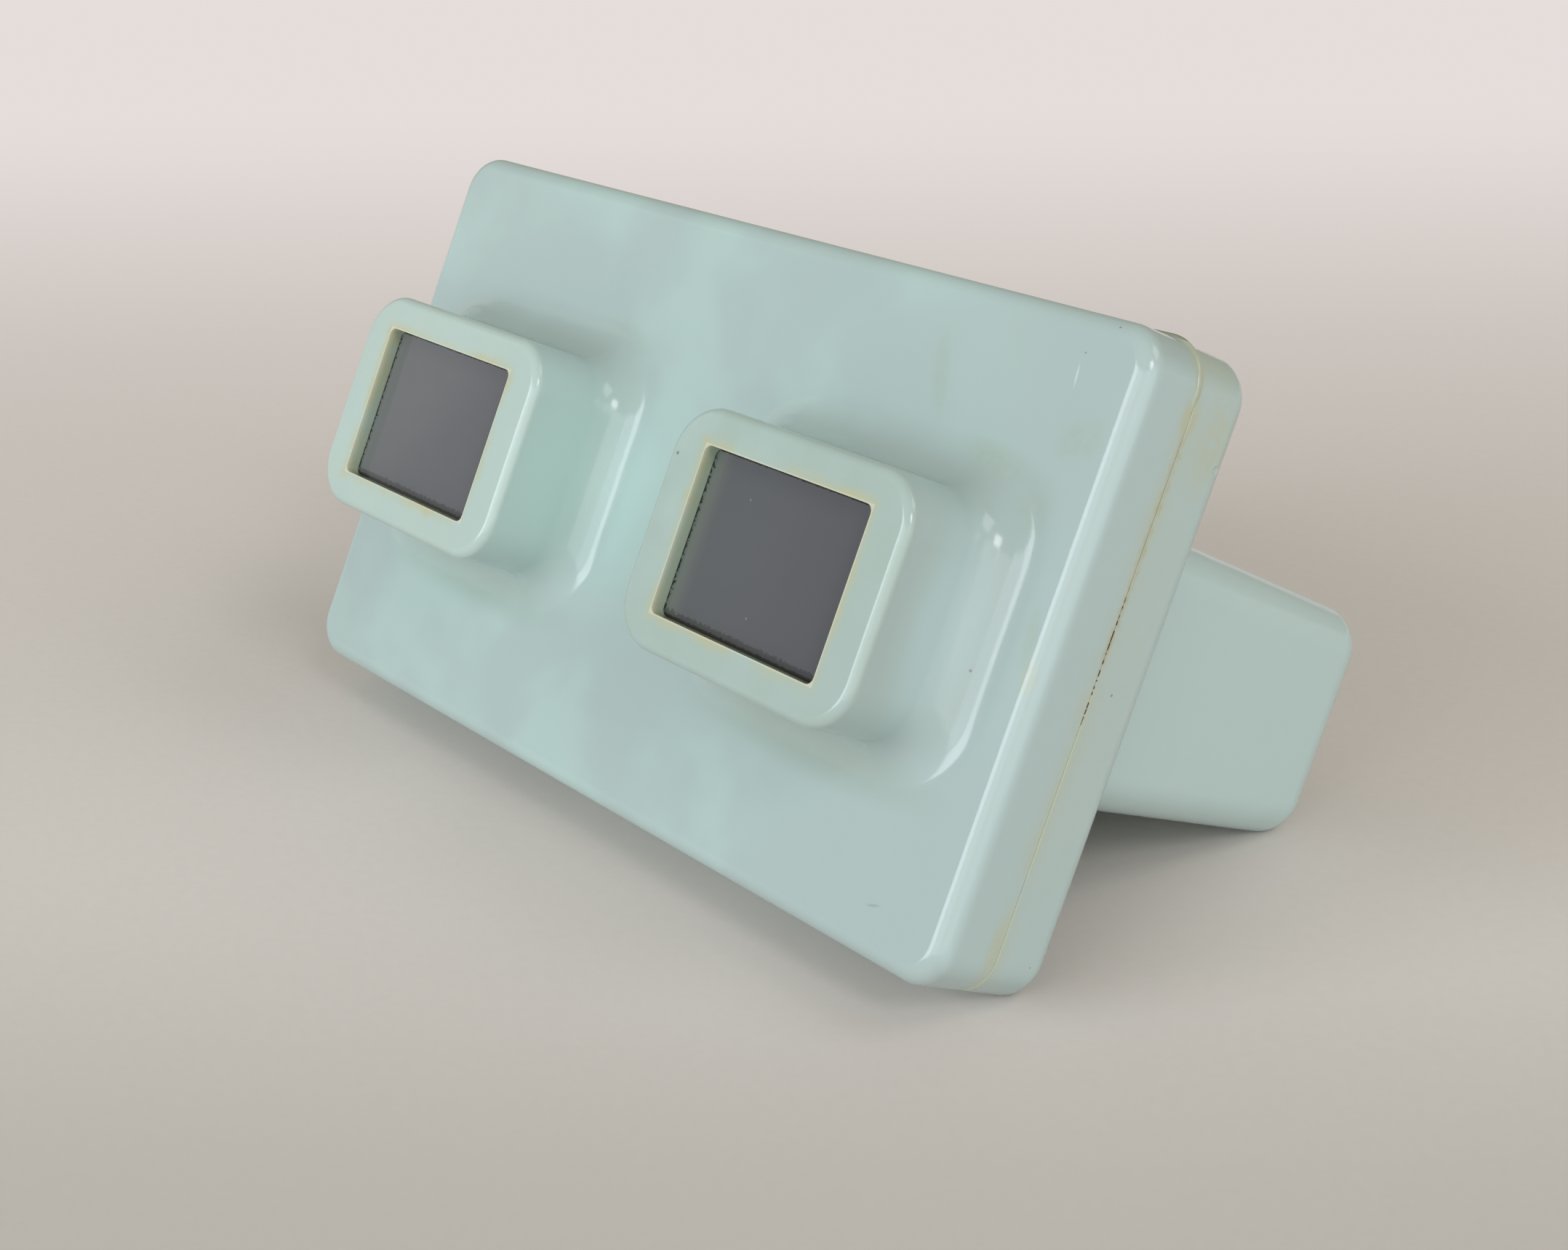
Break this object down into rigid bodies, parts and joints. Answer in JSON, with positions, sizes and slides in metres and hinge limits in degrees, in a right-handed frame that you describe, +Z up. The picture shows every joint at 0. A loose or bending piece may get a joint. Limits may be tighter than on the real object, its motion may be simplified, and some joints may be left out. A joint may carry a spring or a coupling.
{
  "type": "stereoscope",
  "caption": "Hand-held stereo viewer: two-part moulded body with two square hooded eyepieces in front and a light box behind, slotted on top for a mounted stereo slide.",
  "frame": {"origin": "centre of the plan outline, on the surface that the leaning viewer rests on", "axes": "+X to the user's right, +Y away from the user, +Z up; the viewer leans back on the lower rear edge of its body and the lower back edge of its box"},
  "size_m": [0.122, 0.0794, 0.0688],
  "materials": {
    "shell_plastic": "satin gloss",
    "lens_plastic": "polished clear",
    "black_plastic": "matt black",
    "opal_plastic": "translucent opal",
    "spring_steel": "bright strip",
    "screw_steel": "zinc plated",
    "slide_plastic": "matt",
    "film_glass": "glass-bound film"
  },
  "bodies": {
    "viewer": {"front_shell": "shell_plastic", "rear_shell": "shell_plastic", "left_lens": "lens_plastic", "right_lens": "lens_plastic", "left_lens_frame": "black_plastic", "right_lens_frame": "black_plastic", "left_light_tunnel": "black_plastic", "right_light_tunnel": "black_plastic", "picture_gate": "black_plastic", "left_slide_guide": "black_plastic", "right_slide_guide": "black_plastic", "left_slide_spring": "spring_steel", "right_slide_spring": "spring_steel", "spring_rivets": "spring_steel", "diffuser_frame": "black_plastic", "diffuser": "opal_plastic", "gate_screws": "screw_steel"},
    "stereo_slide": {"slide_mount_front": "slide_plastic", "slide_mount_back": "slide_plastic", "left_transparency": "film_glass", "right_transparency": "film_glass"}
  },
  "joints": [
    {"name": "slide_lift", "type": "slide", "parent": "viewer", "child": "stereo_slide", "axis": [0, 0.4426, 0.8967], "range_m": [0, 0.024]}
  ]
}
